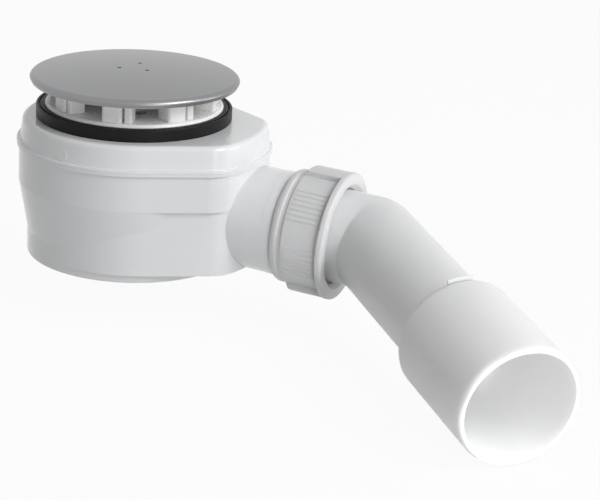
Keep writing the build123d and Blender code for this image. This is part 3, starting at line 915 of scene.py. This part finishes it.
studio = {
    "floorHeight": -0.0280, "floorSize": 6.0, "floorShade": 0.72, "floorRoughness": 0.8, "floorShow": 0.94,
    "fill": 0.34, "background": 1.0,
    "cameraPlace": (0.480311, -0.986048, 0.386237), "cameraTurn": (70.68833, -2.86216, 21.99245),
    "lens": 123.19, "sensor": 36.0, "farClip": 20.0, "target": (0.10, -0.02, 0.03),
}
lamps = {  # bearing from the camera's side towards the right, and height, in degrees
    "keyPanel": {"bearing": 56.0, "height": 40.0, "distance": 1.3, "width": 0.7, "tall": 0.7, "power": 10.0},
    "sideStrip": {"bearing": 96.0, "height": 8.0, "distance": 1.2, "width": 0.35, "tall": 0.9, "power": 2.2},
    "lowPanel": {"bearing": 27.0, "height": 5.0, "distance": 1.6, "width": 0.5, "tall": 0.22, "power": 3.4},
    "mouthPanel": {  # a narrow beam into the bend's bore
        "bearing": 21.0, "height": 4.5, "distance": 0.30, "width": 0.05, "tall": 0.04, "power": 0.018, "beam": 22.0,
        "target": (0.2638, -0.1223, 0.0042),
    },
}


def seenDirectly(nodes, links):  # 1 for camera, glossy and transmission rays
    rays = nodes.new("ShaderNodeLightPath")
    total = rays.outputs["Is Camera Ray"]
    for name in ("Is Glossy Ray", "Is Transmission Ray"):
        larger = nodes.new("ShaderNodeMath")
        larger.operation = "MAXIMUM"
        links.new(total, larger.inputs[0])
        links.new(rays.outputs[name], larger.inputs[1])
        total = larger.outputs["Value"]
    return total


def makeWorld(size):
    world = bpy.data.worlds.new("studioWorld")
    bpy.context.scene.world = world
    world.use_nodes = True
    nodes = world.node_tree.nodes
    links = world.node_tree.links
    light = nodes["Background"]
    light.inputs["Color"].default_value = (1, 1, 1, 1)
    strength = nodes.new("ShaderNodeMapRange")
    strength.inputs["To Min"].default_value = size["fill"]
    strength.inputs["To Max"].default_value = size["background"]
    links.new(seenDirectly(nodes, links), strength.inputs["Value"])
    links.new(strength.outputs["Result"], light.inputs["Strength"])


def makeFloor(size):
    mesh = bmesh.new()
    bmesh.ops.create_grid(mesh, x_segments=1, y_segments=1, size=size["floorSize"])
    bmesh.ops.translate(mesh, verts=mesh.verts[:], vec=(0, 0, size["floorHeight"]))
    data = bpy.data.meshes.new("studioFloor")
    mesh.to_mesh(data)
    mesh.free()
    floor = bpy.data.objects.new("studioFloor", data)
    bpy.context.scene.collection.objects.link(floor)
    material, nodes, links, shader, _ = startMaterial("paleFloor")
    shader.inputs["Base Color"].default_value = (*[size["floorShade"]] * 3, 1)
    shader.inputs["Roughness"].default_value = size["floorRoughness"]
    shader.inputs["Specular IOR Level"].default_value = 0.0
    glow = nodes.new("ShaderNodeEmission")
    glow.inputs["Strength"].default_value = 1.0
    share = nodes.new("ShaderNodeMath")
    share.operation = "MULTIPLY"
    share.inputs[1].default_value = size["floorShow"]
    links.new(seenDirectly(nodes, links), share.inputs[0])
    mix = nodes.new("ShaderNodeMixShader")
    links.new(share.outputs["Value"], mix.inputs["Fac"])
    links.new(shader.outputs["BSDF"], mix.inputs[1])
    links.new(glow.outputs["Emission"], mix.inputs[2])
    links.new(mix.outputs["Shader"], nodes["Material Output"].inputs["Surface"])
    data.materials.append(material)


def makeCamera(size):
    data = bpy.data.cameras.new("camera")
    data.lens = size["lens"]
    data.sensor_width = size["sensor"]
    data.clip_end = size["farClip"]
    camera = bpy.data.objects.new("camera", data)
    camera.location = size["cameraPlace"]
    camera.rotation_euler = [math.radians(angle) for angle in size["cameraTurn"]]
    bpy.context.scene.collection.objects.link(camera)
    bpy.context.scene.camera = camera
    return camera


def makeLamp(name, lamp, camera, size):
    towards = camera.rotation_euler.to_matrix() @ Vector((0, 0, 1))
    towards.z = 0.0
    around = Matrix.Rotation(math.radians(lamp["bearing"]), 3, "Z") @ towards.normalized()
    height = math.radians(lamp["height"])
    target = Vector(lamp.get("target", size["target"]))
    place = target + lamp["distance"] * (around * math.cos(height) + Vector((0, 0, math.sin(height))))
    data = bpy.data.lights.new(name, "AREA")
    data.shape = "RECTANGLE"
    data.size = lamp["width"]
    data.size_y = lamp["tall"]
    data.energy = lamp["power"]
    data.spread = math.radians(lamp.get("beam", 180.0))
    light = bpy.data.objects.new(name, data)
    light.location = place
    light.visible_camera = False
    light.rotation_euler = (target - place).to_track_quat("-Z", "Y").to_euler()
    bpy.context.scene.collection.objects.link(light)


makeWorld(studio)
makeFloor(studio)
sceneCamera = makeCamera(studio)
for lampName, lampSettings in lamps.items():
    makeLamp(lampName, lampSettings, sceneCamera, studio)
bpy.context.scene.view_settings.view_transform = "Standard"
print("studio set")
